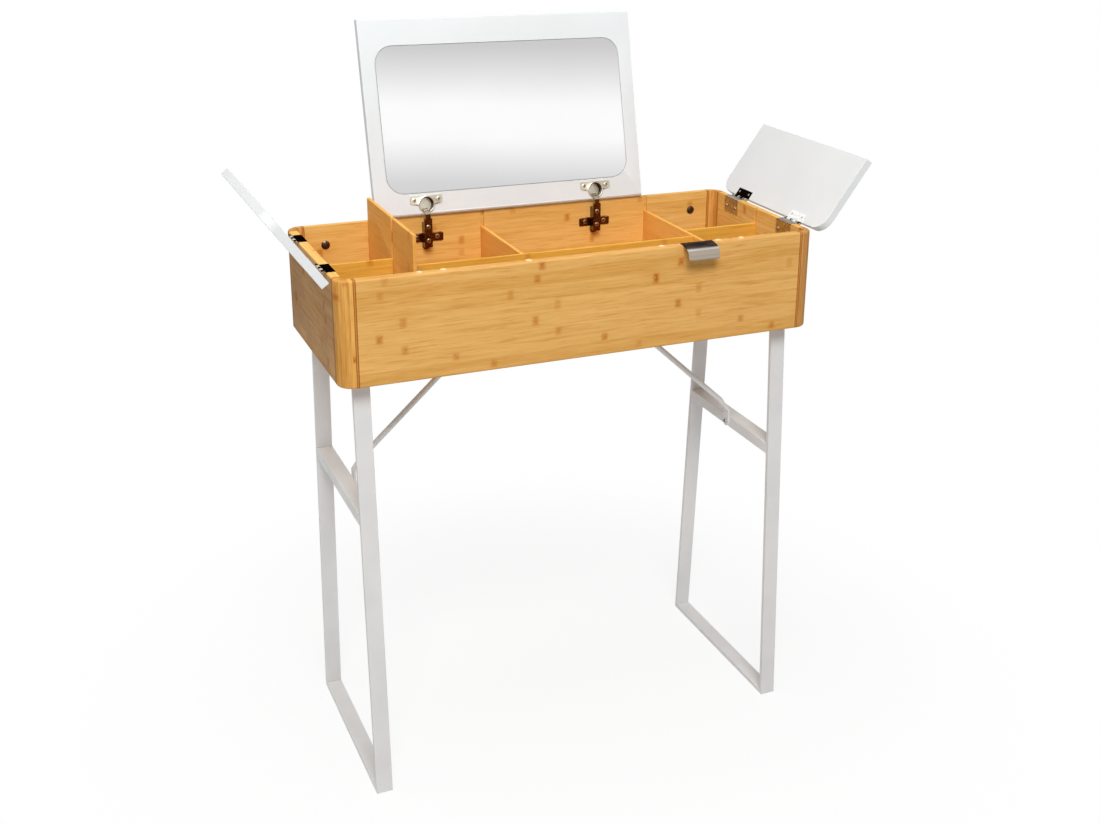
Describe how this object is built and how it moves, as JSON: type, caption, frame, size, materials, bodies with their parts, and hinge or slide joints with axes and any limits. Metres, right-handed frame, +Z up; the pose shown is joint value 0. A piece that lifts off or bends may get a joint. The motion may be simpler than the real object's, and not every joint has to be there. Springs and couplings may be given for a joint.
{
  "type": "vanity table",
  "caption": "Free-standing vanity table: shallow divided box on two splayed steel leg frames, with a mirrored centre lid and side lids that fold open.",
  "frame": {"origin": "on the floor, under the middle of the box", "axes": "+X to the user's right, +Y to the back, where the centre lid's hinges are, +Z up"},
  "size_m": [0.9005, 0.3859, 1.0712],
  "materials": {
    "bamboo": "satin lacquered bamboo",
    "bamboo_board": "satin lacquered bamboo",
    "white_board": "satin white lacquer on board",
    "white_steel": "satin white powder coat",
    "bolt_steel": "bright zinc",
    "dark_steel": "black",
    "brushed_steel": "brushed",
    "nickel": "nickel plated",
    "mirror": "silvered glass",
    "pad": "soft white"
  },
  "bodies": {
    "table": {"front_panel": "bamboo", "back_panel": "bamboo", "left_panel": "bamboo", "right_panel": "bamboo", "bottom_panel": "bamboo", "front_left_post": "bamboo", "front_right_post": "bamboo", "back_left_post": "bamboo", "back_right_post": "bamboo", "tall_divider": "bamboo_board", "centre_divider": "bamboo_board", "right_divider": "bamboo_board", "left_long_board": "bamboo_board", "centre_long_board": "bamboo_board", "right_long_board": "bamboo_board", "pull": "brushed_steel", "rim_pads": "pad", "back_wall_screws": "dark_steel", "left_front_leg": "white_steel", "left_back_leg": "white_steel", "left_floor_rail": "white_steel", "left_top_rail": "white_steel", "left_crossbar": "white_steel", "right_front_leg": "white_steel", "right_back_leg": "white_steel", "right_floor_rail": "white_steel", "right_top_rail": "white_steel", "right_crossbar": "white_steel", "left_brace": "white_steel", "right_brace": "white_steel", "brace_bolts": "bolt_steel", "frame_screws": "bolt_steel", "hinge_plates": "nickel", "plate_screws": "nickel", "hinge_arms": "nickel", "arm_screws": "nickel", "left_box_leaves": "nickel", "left_hinge_pins": "nickel", "left_box_screws": "nickel", "right_box_leaves": "nickel", "right_hinge_pins": "nickel", "right_box_screws": "nickel"},
    "centre_lid": {"centre_lid": "white_board", "mirror": "mirror", "hinge_cups": "nickel", "cup_screws": "nickel", "cup_pins": "bolt_steel"},
    "left_lid": {"left_lid": "white_board", "left_lid_leaves": "nickel", "left_lid_screws": "nickel"},
    "right_lid": {"right_lid": "white_board", "right_lid_leaves": "nickel", "right_lid_screws": "nickel"}
  },
  "joints": [
    {"name": "centre_lid_hinge", "type": "hinge", "parent": "table", "child": "centre_lid", "pos_m": [0, 0.1396, 0.793], "axis": [1, 0, 0], "range_deg": [0, 103.6]},
    {"name": "left_lid_hinge", "type": "hinge", "parent": "table", "child": "left_lid", "pos_m": [-0.3633, 0, 0.782], "axis": [0, 1, 0], "range_deg": [0, 126]},
    {"name": "right_lid_hinge", "type": "hinge", "parent": "table", "child": "right_lid", "pos_m": [0.3633, 0, 0.782], "axis": [0, -1, 0], "range_deg": [0, 126]}
  ]
}
